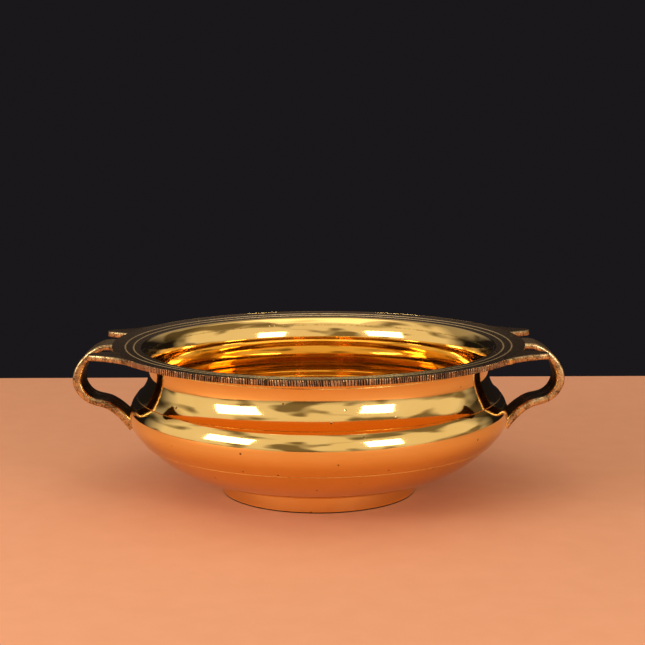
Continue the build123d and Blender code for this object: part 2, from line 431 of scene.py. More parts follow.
@dataclass
class VesselSizes:
    """Sizes of the vessel in millimetres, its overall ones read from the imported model."""

    wall: float = 2.6
    belly_drop: float = 39.4
    waist_drop: float = 29.3
    waist_inset: float = 4.5
    neck_drop: float = 14.7
    neck_inset: float = 11.3
    turn_radius: float = 16.5
    base_flat_radius: float = 47.5
    rim_edge: float = 3.2
    rim_width: float = 17.3
    rim_dish: float = 1.5
    mouth_round: float = 0.8
    rim_cove: float = 2.4
    rim_joint_drop: float = 8.2
    base_joint_below: float = 5.7
    braze_gap: float = 0.6
    foot_wall: float = 3.2
    height: float = field(init=False)
    rim_radius: float = field(init=False)
    belly_radius: float = field(init=False)
    base_clearance: float = field(init=False)
    foot_radius: float = field(init=False)

    def __post_init__(self) -> None:
        """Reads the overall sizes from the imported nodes' boxes."""
        self.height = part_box("rim_flange")[1].z / MM
        self.rim_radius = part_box("rim_flange")[1].y / MM
        self.belly_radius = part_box("belly_shell")[1].y / MM
        self.base_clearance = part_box("base_dish")[0].z / MM
        self.foot_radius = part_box("foot_ring")[1].y / MM

    @property
    def belly_z(self) -> float:
        """Height of the widest place."""
        return self.height - self.belly_drop

    @property
    def mouth(self) -> Point:
        """Inner edge of the rim's top."""
        return (self.rim_radius - self.rim_width, self.height - self.rim_dish)

    @property
    def rim_root(self) -> Point:
        """Where the rim's underside meets the outside of the neck."""
        return (self.rim_radius - self.rim_width, self.height - self.rim_edge - self.rim_dish)

    def waist_normal(self) -> Point:
        """Unit vector out of the wall at the waist."""
        waist, neck = self.waist(), self.neck()
        lower = upright_arc(neck, waist)
        upper = upright_arc((self.belly_radius, self.belly_z), waist)
        neck_tilt = math.asin((neck[1] - waist[1]) / lower.radius)
        shoulder_tilt = math.asin((waist[1] - self.belly_z) / upper.radius)
        tilt = (neck_tilt + shoulder_tilt) / 2
        return (math.cos(tilt), math.sin(tilt))

    def waist(self) -> Point:
        """The crease between neck and shoulder."""
        return (self.belly_radius - self.waist_inset, self.height - self.waist_drop)

    def neck(self) -> Point:
        """The narrowest place of the neck."""
        return (self.belly_radius - self.neck_inset, self.height - self.neck_drop)

    def base_arc(self, inset: float) -> Arc:
        """Arc of the base from its flat middle up to the turn, set in by a thickness."""
        across = self.belly_radius - self.turn_radius - self.base_flat_radius
        rise = self.belly_z - self.base_clearance
        radius = (across**2 + rise**2 - self.turn_radius**2) / (2 * (rise - self.turn_radius))
        centre = (self.base_flat_radius, self.base_clearance + radius)
        return Arc(centre, radius - inset, -math.pi / 2, math.atan2(rise - radius, across))

    def base_height(self, radius: float) -> float:
        """Height of the base's outside at a distance from the axis."""
        arc = self.base_arc(0.0)
        return arc.centre[1] - math.sqrt(arc.radius**2 - (radius - arc.centre[0]) ** 2)

    def wall_arcs(self, inset: float = 0.0) -> list[Arc]:
        """Arcs of one face of the wall: base, turn, shoulder, lower neck and upper neck.

        Args:
            inset: how far in from the outside the face lies.

        Returns:
            The arcs, from the bottom up.
        """
        base = self.base_arc(inset)
        turn = Arc((self.belly_radius - self.turn_radius, self.belly_z), self.turn_radius - inset,
                   base.end, 0.0)
        normal, waist, neck = self.waist_normal(), self.waist(), self.neck()
        waist = (waist[0] - inset * normal[0], waist[1] - inset * normal[1])
        neck = (neck[0] - inset, neck[1])
        shoulder = upright_arc((self.belly_radius - inset, self.belly_z), waist)
        lower_neck = upright_arc(neck, waist)
        lower_neck = Arc(lower_neck.centre, lower_neck.radius, lower_neck.end, lower_neck.start)
        upper_neck = upright_arc(neck, self.mouth if inset else self.rim_root)
        return [base, turn, shoulder, lower_neck, upper_neck]


# ---- Mesh making ----


def mesh_object(name: str, vertices: list[Place], faces: list[Face], sharp_degrees: float = 32.0,
                materials: list[int] | None = None) -> bpy.types.Object:
    """Makes a smooth-shaded object with its real corners kept sharp.

    Args:
        name: the object's name.
        vertices: places in millimetres.
        faces: vertex numbers of each face.
        sharp_degrees: edges folded more than this stay sharp.
        materials: number of each face's material, if they differ.

    Returns:
        The new object, linked to the scene.
    """
    mesh = bpy.data.meshes.new(name)
    mesh.from_pydata([(x * MM, y * MM, z * MM) for x, y, z in vertices], [], faces)
    if materials:
        mesh.polygons.foreach_set("material_index", materials)
    work = bmesh.new()
    work.from_mesh(mesh)
    bmesh.ops.remove_doubles(work, verts=work.verts, dist=WELD)
    bmesh.ops.recalc_face_normals(work, faces=work.faces)
    work.to_mesh(mesh)
    work.free()
    mesh.shade_smooth()
    mesh.set_sharp_from_angle(angle=math.radians(sharp_degrees))
    return add_object(name, mesh)


def skin(rows: int, count: int, ring: bool) -> list[Face]:
    """Quads between rows of points, where each row is a closed loop.

    Args:
        rows: number of rows, which follow one another in the list of vertices.
        count: points in each row.
        ring: whether the last row joins the first. If not, both ends are closed with a face.

    Returns:
        Vertex numbers of each face.
    """
    faces = []
    for i in range(rows if ring else rows - 1):
        here, there = i * count, (i + 1) % rows * count
        for j in range(count):
            k = (j + 1) % count
            quad = (here + j, there + j, there + k, here + k)
            faces.append(quad if ring else quad[:1] + quad[:0:-1])
    if not ring:
        faces += [tuple(range(count)), tuple(range((rows - 1) * count, rows * count))]
    return faces


def join(parts: list[tuple[list[Place], list[Face]]]) -> tuple[list[Place], list[Face]]:
    """Puts meshes together as one.

    Args:
        parts: vertices and faces of each.

    Returns:
        All vertices, and the faces with their numbers moved up to suit.
    """
    vertices, faces = [], []
    for part_vertices, part_faces in parts:
        offset = len(vertices)
        vertices += part_vertices
        faces += [tuple(v + offset for v in face) for face in part_faces]
    return vertices, faces


def turned_mesh(loop: list[Point], segments: int) -> tuple[list[Place], list[Face]]:
    """Turns a closed loop about the Z axis.

    Args:
        loop: radius and height of each point.
        segments: steps round the axis.

    Returns:
        Vertices and faces.
    """
    vertices = []
    for i in range(segments):
        angle = math.tau * i / segments
        c, s = math.cos(angle), math.sin(angle)
        vertices += [(r * c, r * s, z) for r, z in loop]
    return vertices, skin(segments, len(loop), ring=True)


def finish_piece(thing: bpy.types.Object, node: str, slot: Slot, *materials: Material) -> None:
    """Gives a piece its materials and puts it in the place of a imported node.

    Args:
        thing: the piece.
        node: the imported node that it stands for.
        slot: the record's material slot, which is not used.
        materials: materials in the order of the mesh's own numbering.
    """
    for material in materials:
        thing.data.materials.append(material)
    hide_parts(node)
    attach(thing, "root")
    LOG.info("%s: %d faces, stands for %s", thing.name, len(thing.data.polygons), node)


# ---- Sub-assemblies ----


@dataclass
class Vessel:
    """Neck, belly and base, turned from one wall outline, with the braze in the joints."""

    sizes: VesselSizes
    segments: int = 384
    step: float = 0.8
    line_depth: float = 0.14        # how far the rim's joint line is dressed below the wall
    waist_bead: float = 0.28        # how far the one at the waist stands proud instead
    base_bead: float = 0.22         # and the one at the base
    base_set_back: float = 0.35     # the base is dressed back this much where it meets the shell
    base_blend: float = 11.0        # and comes out flush again this far down

    def part(self, first: tuple[int, float], last: tuple[int, float]) -> WallPart:
        """Stretch of the wall between two stations, each an arc's number and a length along it.

        Args:
            first: arc and millimetres along its outside where the part starts.
            last: arc and millimetres where it ends.

        Returns:
            The part.
        """
        outer, inner = self.sizes.wall_arcs(), self.sizes.wall_arcs(self.sizes.wall)
        outside, inside = [], []
        for number in range(first[0], last[0] + 1):
            length = outer[number].length()
            start = first[1] / length if number == first[0] else 0.0
            end = last[1] / length if number == last[0] else 1.0
            count = max(2, math.ceil((end - start) * length / self.step))
            for i in range(count + 1):
                if i == 0 and outside:
                    continue
                fraction = start + (end - start) * i / count
                outside.append(outer[number].at(fraction))
                inside.append(inner[number].at(fraction))
        return WallPart(outside, inside)

    def stations(self) -> dict[str, tuple[int, float]]:
        """Where each joint crosses the outside of the wall."""
        arcs, sizes = self.sizes.wall_arcs(), self.sizes
        rim_rise = math.asin((sizes.neck_drop - sizes.rim_joint_drop) / arcs[4].radius)
        return {
            "base": (0, arcs[0].length() - sizes.base_joint_below),
            "waist": (3, 0.0),
            "rim": (4, arcs[4].radius * rim_rise),
        }

    def joint(self, station: tuple[int, float], proud: float) -> WallPart:
        """Narrow part of the wall that the braze of a joint fills.

        Args:
            station: where the joint is.
            proud: how far its middle stands out from the wall, negative if hollow.

        Returns:
            The part.
        """
        half = self.sizes.braze_gap / 2
        number, along = station
        if along < half:
            # The joint starts where an arc does, so its lower half lies on the arc before.
            before = (number - 1, self.sizes.wall_arcs()[number - 1].length() - half)
        else:
            before = (number, along - half)
        part = self.part(before, (number, along + half))
        middle = len(part.outside) // 2
        radius, height = part.outside[middle]
        part.outside[middle] = (radius + proud, height)
        return part

    def set_back(self, points: list[Point]) -> list[Point]:
        """The base's outside with its upper end dressed back from the joint.

        Args:
            points: the outside, which ends at the joint.

        Returns:
            The points moved towards the arc's centre.
        """
        centre, bend = self.sizes.base_arc(0.0).centre, self.sizes.base_arc(0.0).radius
        moved = []
        for radius, height in points:
            blend = max(0.0, 1 - math.dist((radius, height), points[-1]) / self.base_blend)
            across, rise = (centre[0] - radius) / bend, (centre[1] - height) / bend
            depth = self.base_set_back * blend
            moved.append((radius + depth * across, height + depth * rise))
        return moved

    def build(self, finishes: Finishes) -> None:
        """Builds the pieces of the vessel below the rim."""
        at, half = self.stations(), self.sizes.braze_gap / 2
        arcs = self.sizes.wall_arcs()
        base = self.part((0, 0.0), (0, at["base"][1] - half))
        centre_out, centre_in = (0.0, base.outside[0][1]), (0.0, base.inside[0][1])
        base = WallPart([centre_out] + self.set_back(base.outside), [centre_in] + base.inside)
        shell = self.part((0, at["base"][1] + half), (2, arcs[2].length() - half))
        collar = self.part((3, half), (4, at["rim"][1] - half))
        for node, part in (("base_dish", base), ("belly_shell", shell), ("neck_collar", collar)):
            thing = mesh_object(node + "_turned", *turned_mesh(part.loop(), self.segments))
            finish_piece(thing, node, Slot.POLISHED, finishes.mirror)
        proud = {"base": self.base_bead, "waist": self.waist_bead, "rim": -self.line_depth}
        for name, height in proud.items():
            part = self.joint(at[name], height)
            thing = mesh_object(name + "_braze_line", *turned_mesh(part.loop(), self.segments))
            finish_piece(thing, name + "_joint_braze", Slot.BRAZE, finishes.braze)


@dataclass
class Foot:
    """Foot ring that the bowl stands on, and the braze in the corner above it."""

    sizes: VesselSizes
    edge_round: float = 0.8
    contact_shade_height: float = 0.64    # below this the ring takes the dark as-cast finish: an unpolished bearing face and painted contact shadow
    braze: float = 1.0              # size of the bead above the ring
    bead_hollow: float = 1.15       # radius of the bead's face, as a share of its size
    bead_sunk: float = 0.3          # how far the bead runs in behind the ring's outside
    segments: int = 384

    def build(self, finishes: Finishes) -> None:
        """Builds the ring and its braze."""
        outer, edge, seat = self.sizes.foot_radius, self.edge_round, self.seat()
        inner, top = outer - self.sizes.foot_wall, seat + self.sizes.wall / 2
        corner = Arc((outer - edge, edge), edge, -math.pi / 2, 0.0).points(0.12)
        heel = Arc((inner + edge, edge), edge, math.pi, 1.5 * math.pi).points(0.12)
        side = [(outer, edge + (top - edge) * i / 8) for i in range(1, 9)]
        loop = heel + corner + side + [(inner, top)]
        ring = mesh_object("foot_ring_turned", *turned_mesh(loop, self.segments))
        finish_piece(ring, "foot_ring", Slot.POLISHED, finishes.mirror, finishes.as_cast_and_shade)
        # The bearing edge gets the dark finish: unpolished casting, darkened as painted contact shadow.
        for face in ring.data.polygons:
            face.material_index = int(face.center.z < self.contact_shade_height * MM)
        bead = mesh_object("foot_braze_fillet", *turned_mesh(self.bead_loop(), self.segments))
        finish_piece(bead, "foot_ring_braze", Slot.BRAZE, finishes.mirror)

    def seat(self) -> float:
        """Height where the ring's outside meets the base."""
        return self.sizes.base_height(self.sizes.foot_radius)

    def bead_loop(self) -> list[Point]:
        """Section of the hollow bead of braze between the ring and the base."""
        outer, seat, size = self.sizes.foot_radius, self.seat(), self.braze
        hollow = self.bead_hollow * size
        face = Arc((outer + hollow, seat - 1.1 * size), hollow, math.pi, math.pi / 2).points(0.25)
        face = [point for point in face if point[1] < seat + size][:-2]
        buried = 0.05               # the bead's top lies this far inside the base
        touch = [(radius, self.sizes.base_height(radius) + buried)
                 for radius in (outer + size, outer + size / 2, outer - self.bead_sunk)]
        return [(outer - self.bead_sunk, seat - size)] + face + touch


@dataclass
class Rim:
    """Wide flat rim: the turned flange with its two grooves and its chiselled outer edge."""

    sizes: VesselSizes
    vessel: Vessel
    groove_insets: tuple[float, float] = (7.6, 12.2)
    groove_width: float = 0.9
    groove_depth: float = 0.35
    edge_round: float = 0.35
    cut_spacing: float = 1.40       # between chisel cuts along the edge
    cut_depth: float = 0.55
    cut_half_width: Point = (0.40, 0.62)    # least and most
    painted_shade_below: float = 0.16       # the cuts below this depth get the near-black finish as painted shade
    cut_samples: int = 4400
    slant_steps: int = 60           # stretches of edge whose cuts lean alike
    edge_seat: float = 0.9          # the body stops this far in, inside the edge's own ring
    edge_lap: float = 0.95          # and the ring starts this far in
    strap_landing: float = 10.6     # the edge is squared off behind the strap, this far each side
    prong_landing: Point = (30.5, 60.0)     # and behind the prongs, from and to
    plain_right: float = 25.0       # degrees each side of the handle's axis left without cuts
    plain_left: float = 38.0
    segments: int = 512

    def slope(self) -> float:
        """Fall of the rim's top towards the mouth, per millimetre."""
        return self.sizes.rim_dish / self.sizes.rim_width

    def top_line(self) -> list[Point]:
        """The rim's top from the outer edge in to the mouth's rounding, with the grooves."""
        sizes, width = self.sizes, self.groove_width
        # Rings of points between the grooves, close where the top turns into a groove or the mouth.
        insets = {0.6, 2.0, 4.0, 5.5, 6.4, 9.3, 10.2, 11.0, 13.4, 14.6, 15.6, 16.3}
        depths = {}
        for centre in self.groove_insets:
            for share, depth in ((-0.5, 0.0), (-0.28, 0.55), (0.0, 1.0), (0.28, 0.55), (0.5, 0.0)):
                depths[round(centre + share * width, 4)] = depth * self.groove_depth
        places = sorted(insets | set(depths))
        return [(sizes.rim_radius - inset, sizes.height - inset * self.slope() - depths.get(inset, 0.0))
                for inset in places]

    def body_loop(self) -> list[Point]:
        """Section of the rim's body, from the joint with the neck round and back."""
        sizes, step, seat = self.sizes, 0.35, self.edge_seat
        number, along = self.vessel.stations()["rim"]
        neck, throat = sizes.wall_arcs()[number], sizes.wall_arcs(sizes.wall)[number]
        start = (along + sizes.braze_gap / 2) / neck.length()
        root, mouth = sizes.rim_root, sizes.mouth
        outer = [p for p in neck.points(step, start) if p[1] < root[1] - sizes.rim_cove]
        under = (sizes.rim_radius - seat, sizes.height - sizes.rim_edge - seat * self.slope())
        landing = (root[0] + sizes.rim_cove, root[1] + sizes.rim_cove * self.slope())
        cove = [self.bend(outer[-1], (root[0], root[1] + 0.1), landing, i / 8) for i in range(1, 9)]
        # The body's top starts a little low, so that the edge's ring covers its end.
        top = [(sizes.rim_radius - seat, sizes.height - seat * self.slope() - 0.02)]
        top += self.top_line()[1:]
        throat = [p for p in throat.points(step, start) if p[1] < mouth[1] - sizes.mouth_round]
        lip = [self.bend(top[-1], mouth, throat[-1], i / 8) for i in range(1, 8)]
        return outer + cove + [under] + top + lip + throat[::-1]

    @staticmethod
    def bend(start: Point, corner: Point, end: Point, share: float) -> Point:
        """Point on a rounded corner.

        Args:
            start: where the rounding starts.
            corner: the corner that it cuts off.
            end: where it ends.
            share: how far along it the point is, 0 to 1.

        Returns:
            The point.
        """
        a, b, c = (1 - share) ** 2, 2 * share * (1 - share), share**2
        return (a * start[0] + b * corner[0] + c * end[0], a * start[1] + b * corner[1] + c * end[1])

    def cuts(self) -> list[float]:
        """Depth of the chisel cuts at each sample round the edge, 0 to 1.

        Returns:
            One depth per sample, fading to none near the handles.
        """
        chance = random.Random(11)
        depths = [0.0] * self.cut_samples
        place, length = 0.0, math.tau * self.sizes.rim_radius
        while place < length:
            angle = math.degrees(place / self.sizes.rim_radius)
            off_right, off_left = abs((angle + 180) % 360 - 180), abs(angle - 180)
            fade = min(1.0, max(0.0, (off_right - self.plain_right) / 3.0),
                       max(0.0, (off_left - self.plain_left) / 8.0))
            deep, half = fade * chance.uniform(0.5, 1.0), chance.uniform(*self.cut_half_width)
            middle = place / length * self.cut_samples
            reach = half / length * self.cut_samples
            for i in range(math.floor(middle - reach), math.ceil(middle + reach) + 1):
                value = deep * max(0.0, 1 - abs(i - middle) / reach)
                depths[i % self.cut_samples] = max(depths[i % self.cut_samples], value)
            place += self.cut_spacing * chance.uniform(0.7, 1.3)
        return depths

    def squared(self, angle: float) -> bool:
        """Whether the edge is squared off at this angle, since a handle leaves it there."""
        across = abs(self.sizes.rim_radius * math.sin(angle))
        near, far = self.prong_landing
        return across < self.strap_landing or (near < across < far and abs(math.cos(angle)) > 0.5)

    def edge_mesh(self) -> tuple[list[Place], list[Face]]:
        """The chiselled outer edge as a fine ring whose back is inside the rim's body.

        Returns:
            Vertices and faces.
        """
        sizes, turn, lap = self.sizes, self.edge_round, self.edge_lap
        low, high = sizes.height - sizes.rim_edge, sizes.height
        # Inset and height of each point of the section, and its share of a cut's depth.
        profile = [(lap, high - lap * self.slope()), (turn + 0.12, high - 0.02),
                   (turn * 0.3, high - turn * 0.3), (0.0, high - turn)]
        profile += [(0.0, high - turn - (sizes.rim_edge - 2 * turn) * i / 5) for i in range(1, 6)]
        profile += [(turn * 0.3, low + turn * 0.3), (turn + 0.1, low), (lap, low - lap * self.slope()),
                    (1.3, (low + high) / 2)]
        share = [0, 0.15, 0.8, 1, 1, 1, 1, 1, 1, 0.8, 0.15, 0, 0]
        depths, steps, middle = self.cuts(), self.slant_steps, 6
        chance = random.Random(5)
        slant = [chance.uniform(-2.0, 2.0) for _ in range(steps)]
        vertices = []
        for i in range(self.cut_samples):
            angle = math.tau * i / self.cut_samples
            square = self.squared(angle)
            for j, (inset, z) in enumerate(profile):
                shift = round(slant[i * steps // self.cut_samples % steps] * (j - middle) * 0.25)
                depth = depths[(i + shift) % self.cut_samples] * self.cut_depth * share[j]
                radius = sizes.rim_radius - inset - depth
                if square and 1 <= j <= 10:
                    # The sides reach just into the handle, and the corners stay just clear of it.
                    radius = sizes.rim_radius + (0.1 if 2 <= j <= 9 else -0.1)
                    z = high - 0.005 if j <= 3 else low + 0.005 if j >= 8 else z
                vertices.append((radius * math.cos(angle), radius * math.sin(angle), z))
        return vertices, skin(self.cut_samples, len(profile), ring=True)

    def build(self, finishes: Finishes) -> None:
        """Builds the rim and dresses its top, its edge and the mirror of its throat."""
        parts = [turned_mesh(self.body_loop(), self.segments), self.edge_mesh()]
        rim = mesh_object("rim_flange_turned", *join(parts), sharp_degrees=24.0)
        finish_piece(rim, "rim_flange", Slot.POLISHED, finishes.mirror, finishes.flange_top,
                     finishes.chiselled, finishes.groove_painted_highlight, finishes.as_cast_and_shade)
        radius, top_width = self.sizes.rim_radius * MM, self.sizes.rim_width - 1.0
        for face in rim.data.polygons:
            away = math.hypot(face.center.x, face.center.y)
            if away > radius - self.edge_seat * MM and abs(face.normal.z) < 0.8:
                # Painted shade: faces deep in the chisel cuts get the near-black finish.
                shaded_cut = away < radius - self.painted_shade_below * MM
                face.material_index = RimFace.CUT_FLOOR_PAINTED_SHADE if shaded_cut else RimFace.CHISELLED
            elif face.normal.z > 0.5 and away > radius - top_width * MM:
                inset, half = (radius - away) / MM, 0.5 * self.groove_width
                # Faces in a groove get the pale finish, a painted highlight.
                groove_highlighted = any(abs(inset - middle) < half for middle in self.groove_insets)
                face.material_index = RimFace.GROOVE_PAINTED_HIGHLIGHT if groove_highlighted else RimFace.TOP


@dataclass
class Handle:
    """One handle: the strap that loops down to the belly, between two flat prongs."""

    sizes: VesselSizes
    side: Side
    strap_width: float = 22.0
    strap_round: float = 1.3
    root_in: float = 1.6            # how far the strap and prongs are let into the rim
    prong_notch: float = 19.0
    prong_root: float = 31.0
    prong_tip_out: float = 8.8
    prong_tip_lean: float = 7.2
    prong_tip_width: float = 6.4
    prong_tip_round: float = 2.8
    prong_hollow: float = 2.4
    prong_edge_round: float = 0.55
    file_depth: float = 0.10        # unevenness left by hand filing
    file_patches: float = 0.16      # uneven patches per millimetre
    knob: float = 1.1               # lump of braze left at the root of the right front prong
    knob_spread: float = 1.7
    knob_edge: float = 0.35         # share of its height where the lump's own finish stops
    reach: float = field(init=False)

    def __post_init__(self) -> None:
        """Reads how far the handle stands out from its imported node's box."""
        low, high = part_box(f"{self.side.name.lower()}_handle")
        self.reach = max(abs(low.x), abs(high.x)) / MM

    def strap_stations(self) -> list[tuple[Point, float, float]]:
        """Outer face, heading in degrees and thickness at each station from root to foot."""
        rim, top, belly = self.sizes.rim_radius, self.sizes.height, self.sizes.belly_radius
        return [
            ((rim - self.root_in, top), 0.0, 3.2),
            ((rim + 3.0, top), 0.0, 3.3),
            ((self.reach - 8.9, top - 4.6), -39.0, 3.8),
            ((self.reach, top - 20.5), -90.0, 4.8),
            ((self.reach - 9.0, top - 33.8), -153.0, 4.0),
            ((belly + 12.6, top - 37.2), -152.0, 4.3),
            ((belly - 0.2, self.sizes.belly_z - 10.2), -125.0, 4.8),
        ]

    def strap_line(self, steps: int = 16) -> list[tuple[Vector, Vector, float]]:
        """Middle of the strap as smooth curves between the stations.

        Args:
            steps: points on each stretch.

        Returns:
            Place, direction outwards across the thickness, and thickness at each point.
        """
        nodes = []
        for (x, z), heading, thickness in self.strap_stations():
            angle = math.radians(heading)
            along = Vector((math.cos(angle), math.sin(angle)))
            out = Vector((-along.y, along.x))
            nodes.append((Vector((x, z)) - out * thickness / 2, along, thickness))
        line = []
        for (a, ta, wa), (b, tb, wb) in zip(nodes, nodes[1:]):
            chord = (b - a).length
            for i in range(steps):
                line.append(self.hermite(a, ta * chord, b, tb * chord, i / steps, wa, wb))
        end, tangent, width = nodes[-1]
        line.append((end, Vector((-tangent.y, tangent.x)), width))
        return line

    @staticmethod
    def hermite(a: Vector, ta: Vector, b: Vector, tb: Vector, t: float, wa: float,
                wb: float) -> tuple[Vector, Vector, float]:
        """Point on a smooth curve between two stations.

        Args:
            a: place of the first station.
            ta: tangent there, as long as the stretch.
            b: place of the second station.
            tb: tangent there.
            t: how far along the point is, 0 to 1.
            wa: thickness at the first station.
            wb: thickness at the second.

        Returns:
            The place, its outward direction and the thickness there.
        """
        place = ((2 * t**3 - 3 * t**2 + 1) * a + (t**3 - 2 * t**2 + t) * ta
                 + (3 * t**2 - 2 * t**3) * b + (t**3 - t**2) * tb)
        slope = ((6 * t**2 - 6 * t) * a + (3 * t**2 - 4 * t + 1) * ta
                 + (6 * t - 6 * t**2) * b + (3 * t**2 - 2 * t) * tb).normalized()
        blend = 3 * t**2 - 2 * t**3
        return place, Vector((-slope.y, slope.x)), wa + (wb - wa) * blend

    def ring(self, thickness: float) -> list[Point]:
        """Section across the strap, from one corner round to the next.

        The outer face comes first and the inner face third, each with points along it.

        Args:
            thickness: how thick the strap is here.

        Returns:
            Distance across the width and the thickness for each point.
        """
        half, depth, turn = self.strap_width / 2, thickness / 2, min(self.strap_round, 0.42 * thickness)
        corners = [(half - turn, depth - turn, 0), (-half + turn, depth - turn, 90),
                   (-half + turn, -depth + turn, 180), (half - turn, -depth + turn, 270)]
        points = []
        for number, (y, t, start) in enumerate(corners):
            for i in range(6):
                angle = math.radians(start + 18 * i)
                points.append((y + turn * math.cos(angle), t + turn * math.sin(angle)))
            if number % 2 == 0:
                y_next = corners[(number + 1) % 4][0]
                level = points[-1][1]
                points += [(y + (y_next - y) * i / 12, level) for i in range(1, 12)]
        return points

    def strap_mesh(self) -> tuple[list[Place], list[Face], list[int]]:
        """The strap as a closed skin over its sections.

        Returns:
            Vertices, faces and the number of each face's finish.
        """
        vertices, line = [], self.strap_line()
        for place, out, thickness in line:
            for across, depth in self.ring(thickness):
                spot = place + out * depth
                vertices.append((spot.x, across, spot.y))
        count = len(vertices) // len(line)
        # The inner face, turned away from the lamps, takes the dark as-cast finish: raw casting and
        # painted shade.
        inner_face = range(count // 2 + 5, count - 6)
        around = [HandleFace.AS_CAST_AND_SHADE if j in inner_face else HandleFace.FILED for j in range(count)]
        finish = around * (len(line) - 1) + [HandleFace.FILED] * 2
        return vertices, skin(len(line), count, ring=False), finish

    def prong_outline(self, step: float = 0.7) -> list[Point]:
        """Plan of the prong on the +Y side, with its tip rounded.

        Args:
            step: greatest spacing of its points.

        Returns:
            The outline as a closed loop.
        """
        rim = self.sizes.rim_radius
        near = self.strap_width / 2 + self.prong_notch
        far = near + self.prong_root
        root_near, root_far = (math.sqrt(rim**2 - near**2), near), (math.sqrt(rim**2 - far**2), far)
        tip_near = (rim + self.prong_tip_out, near + self.prong_tip_lean)
        tip_far = (tip_near[0], tip_near[1] + self.prong_tip_width)
        run = (root_far[0] - tip_far[0], root_far[1] - tip_far[1])
        curve = self.prong_hollow / math.hypot(*run)
        middle = ((tip_far[0] + root_far[0]) / 2 - 2 * curve * run[1],
                  (tip_far[1] + root_far[1]) / 2 + 2 * curve * run[0])
        turn = self.prong_tip_round

        def toward(a: Point, b: Point, distance: float) -> Point:
            """Point a distance from one point towards another."""
            run = math.dist(a, b)
            return (a[0] + (b[0] - a[0]) * distance / run, a[1] + (b[1] - a[1]) * distance / run)

        outline = [root_near, toward(tip_near, root_near, turn)]
        corners = [(outline[-1], tip_near, toward(tip_near, tip_far, turn)),
                   (toward(tip_far, tip_near, turn), tip_far, toward(tip_far, middle, turn))]
        for a, b, c in corners:
            outline += [Rim.bend(a, b, c, i / 6) for i in range(7)]
        outline += [Rim.bend(outline[-1], middle, root_far, i / 12) for i in range(1, 13)]
        inner = rim - self.root_in
        a, b = math.atan2(root_far[1], root_far[0]), math.atan2(root_near[1], root_near[0])
        outline += [(inner * math.cos(a + (b - a) * i / 24), inner * math.sin(a + (b - a) * i / 24))
                    for i in range(25)]
        dense = []
        for a, b in zip(outline, outline[1:] + outline[:1]):
            pieces = max(1, math.ceil(math.dist(a, b) / step))
            dense += [(a[0] + (b[0] - a[0]) * i / pieces, a[1] + (b[1] - a[1]) * i / pieces)
                      for i in range(pieces)]
        return dense

    def prong_mesh(self, mirror: int) -> tuple[list[Place], list[Face], list[int]]:
        """One prong as a flat plate with rounded edges.

        Args:
            mirror: 1 for the prong on the +Y side, -1 for the other.

        Returns:
            Vertices, faces and the number of each face's finish.
        """
        outline, turn = self.prong_outline(), self.prong_edge_round
        top, low = self.sizes.height, self.sizes.height - self.sizes.rim_edge
        following = outline[1:] + outline[:1]
        area = sum(a[0] * b[1] - b[0] * a[1] for a, b in zip(outline, following))
        outward = 1 if area > 0 else -1
        normals = []
        for a, b in zip(outline[-1:] + outline[:-1], following):
            length = math.dist(a, b)
            normals.append(((b[1] - a[1]) / length, -(b[0] - a[0]) / length))
        # Inset and height of each loop of points, from the middle of the underside to that of the top.
        levels = [(1.8, low), (1.1, low), (turn, low), (turn * 0.3, low + turn * 0.3)]
        levels += [(0.0, low + turn)]
        levels += [(0.0, low + turn + (top - low - 2 * turn) * i / 3) for i in range(1, 4)]
        levels += [(turn * 0.3, top - turn * 0.3), (turn, top), (1.1, top), (1.8, top)]
        vertices = []
        for inset, z in levels:
            for (x, y), (nx, ny) in zip(outline, normals):
                # Less inset near the rim, so that no slit opens between the prong and the rim.
                spare = math.hypot(x, y) - self.sizes.rim_radius + 0.75 * self.root_in
                held = outward * min(inset, max(0.0, spare))
                vertices.append((x - nx * held, mirror * (y - ny * held), z))
        count, bands = len(outline), len(levels) - 1
        # Two bands of the underside, the rounded edge, two bands of the top, and then both ends.
        # The underside takes the dark as-cast finish: raw casting and painted shade.
        finish = [HandleFace.AS_CAST_AND_SHADE] * 2 * count + [HandleFace.FILED] * (bands - 4) * count
        finish += [HandleFace.PRONG_TOP] * 2 * count + [HandleFace.AS_CAST_AND_SHADE, HandleFace.PRONG_TOP]
        return vertices, skin(len(levels), count, ring=False), finish

    def knob_share(self, x: float, y: float) -> float:
        """How near a place is to the lump of braze, 1 at its middle."""
        if self.side is Side.LEFT:
            return 0.0
        middle_y = 3.5 - self.strap_width / 2 - self.prong_notch - self.prong_root
        middle_x = math.sqrt(self.sizes.rim_radius**2 - middle_y**2)
        return math.exp(-math.dist((x, y), (middle_x, middle_y))**2 / self.knob_spread**2)

    def settle(self, spot: Place) -> Place:
        """Place of a vertex after filing, kept inside the rim where the handle is let in.

        Args:
            spot: where the vertex is on the right handle before filing.

        Returns:
            Where it is on this handle.
        """
        x, y, z = spot
        away, sizes = math.hypot(x, y), self.sizes
        grain = Vector((x, y, z)) * self.file_patches
        wear = self.file_depth * min(0.0, noise.noise(grain) + 0.4 * noise.noise(grain * 4.0) - 0.6)
        if away > sizes.rim_radius + 0.3:
            z += wear * (0.5 if z > sizes.height - 3 else 0.0)
            x += wear
        lump = self.knob * self.knob_share(x, y)
        x, y = x * (1 + lump / away), y * (1 + lump / away)
        top = sizes.height - 0.03 - max(0.0, sizes.rim_radius - away) * sizes.rim_dish / sizes.rim_width
        if away < sizes.rim_radius + 0.2:
            z = max(min(z, top), top - sizes.rim_edge + 0.06) if z > sizes.height - 6 else z
        return (self.side.value * x, y, z)

